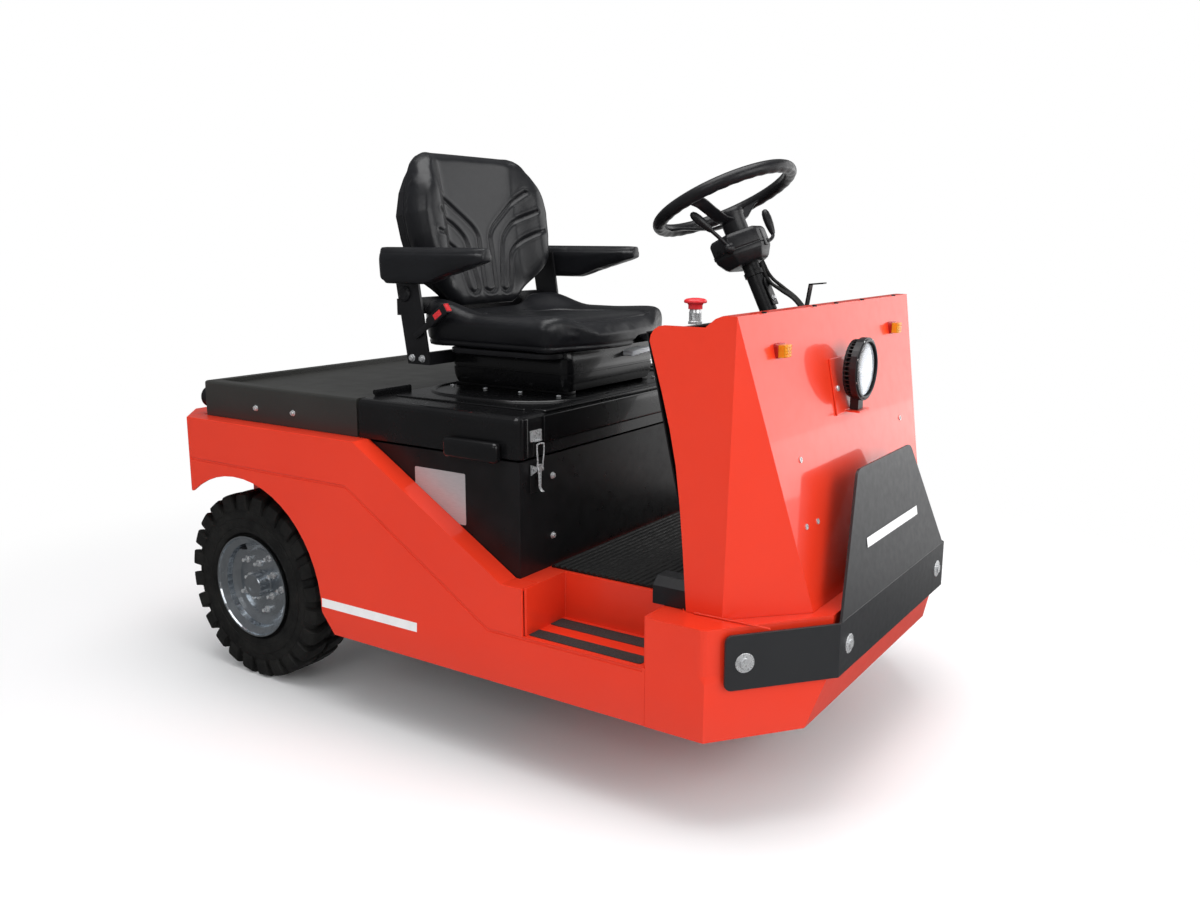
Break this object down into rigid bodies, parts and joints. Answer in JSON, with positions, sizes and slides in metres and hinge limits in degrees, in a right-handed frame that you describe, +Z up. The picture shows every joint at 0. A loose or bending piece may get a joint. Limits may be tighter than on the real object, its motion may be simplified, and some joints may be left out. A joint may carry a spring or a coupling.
{
  "type": "electric tow tractor",
  "caption": "Compact three-wheeled seated electric tow tractor with a lifting battery hood, a rear tow jaw and a front bumper shield, for pulling trolleys.",
  "frame": {"origin": "bottom centre of the overall box: on the ground, midway along and across the vehicle", "axes": "+X forward, +Y to the vehicle's left, +Z up"},
  "size_m": [1.6085, 0.93, 1.14],
  "materials": {
    "body_red": "gloss",
    "black_steel": "satin",
    "black_plastic": "satin",
    "black_vinyl": "satin",
    "rubber": "matte",
    "tyre": "matte",
    "zinc": "satin",
    "cast_grey": "matte",
    "battery_grey": "matte",
    "clear_lens": "gloss",
    "amber_lens": "gloss",
    "stop_red": "gloss",
    "pale_grey": "satin"
  },
  "bodies": {
    "chassis": {"amber_lamp_left": "amber_lens", "amber_lamp_right": "amber_lens", "battery": "battery_grey", "battery_box": "black_steel", "bumper_shield": "black_steel", "column_cable": "rubber", "cowl": "body_red", "dash": "black_steel", "floor": "body_red", "floor_mat": "rubber", "hand_lever": "black_steel", "headlight": "black_plastic", "headlight_bracket": "body_red", "headlight_lens": "clear_lens", "hood_latch": "zinc", "nose": "body_red", "pedals": "rubber", "rear_axle": "cast_grey", "rear_deck": "black_steel", "rear_frame": "black_steel", "rear_panel": "body_red", "side_panel_left": "body_red", "side_panel_right": "body_red", "steer_plate": "cast_grey", "steering_column": "black_steel", "stop_barrel": "zinc", "stop_button": "stop_red", "switch_housing": "black_plastic", "tail_lamp_left": "clear_lens", "tail_lamp_right": "clear_lens", "toe_block": "black_plastic", "tow_hitch": "black_steel", "tow_pin": "zinc", "wheelhouse_left": "body_red", "wheelhouse_right": "body_red"},
    "rear_wheel_right": {"rear_rim_right": "zinc", "rear_tyre_right": "tyre"},
    "rear_wheel_left": {"rear_rim_left": "zinc", "rear_tyre_left": "tyre"},
    "steered_fork": {"front_fork": "black_steel"},
    "front_wheel": {"front_rim": "cast_grey", "front_tyre": "tyre"},
    "hand_wheel": {"steering_wheel": "black_plastic"},
    "seat_and_hood": {"hood": "black_plastic", "seat_base": "black_steel", "seat_cushion": "black_vinyl", "backrest": "black_vinyl", "seat_frame": "black_plastic", "belt_buckle": "black_plastic", "seat_adjuster": "pale_grey"},
    "armrest_right_arm": {"armrest_right": "black_vinyl"},
    "armrest_left_arm": {"armrest_left": "black_vinyl"}
  },
  "joints": [
    {"name": "rear_wheel_right_spin", "type": "hinge", "parent": "chassis", "child": "rear_wheel_right", "pos_m": [-0.48425, -0.3865, 0.2075], "axis": [0, 1, 0], "continuous": true},
    {"name": "rear_wheel_left_spin", "type": "hinge", "parent": "chassis", "child": "rear_wheel_left", "pos_m": [-0.48425, 0.3865, 0.2075], "axis": [0, 1, 0], "continuous": true},
    {"name": "front_steer", "type": "hinge", "parent": "chassis", "child": "steered_fork", "pos_m": [0.52575, 0, 0.15], "axis": [0, 0, 1], "range_deg": [-60, 60]},
    {"name": "front_wheel_spin", "type": "hinge", "parent": "steered_fork", "child": "front_wheel", "pos_m": [0.52575, 0, 0.15], "axis": [0, 1, 0], "continuous": true},
    {"name": "steering_wheel_turn", "type": "hinge", "parent": "chassis", "child": "hand_wheel", "pos_m": [0.42375, 0, 1.033], "axis": [-0.4368, 0, 0.8996], "range_deg": [-540, 540]},
    {"name": "hood_hinge", "type": "hinge", "parent": "chassis", "child": "seat_and_hood", "pos_m": [-0.14575, 0, 0.6585], "axis": [0, -1, 0], "range_deg": [0, 48]},
    {"name": "armrest_right_fold", "type": "hinge", "parent": "seat_and_hood", "child": "armrest_right_arm", "pos_m": [-0.18425, -0.27, 0.9], "axis": [0, -1, 0], "range_deg": [0, 85]},
    {"name": "armrest_left_fold", "type": "hinge", "parent": "seat_and_hood", "child": "armrest_left_arm", "pos_m": [-0.18425, 0.27, 0.9], "axis": [0, -1, 0], "range_deg": [0, 85]}
  ],
  "couplings": [
    {"joint": "steering_wheel_turn", "follows": "front_steer", "ratio": 9}
  ]
}
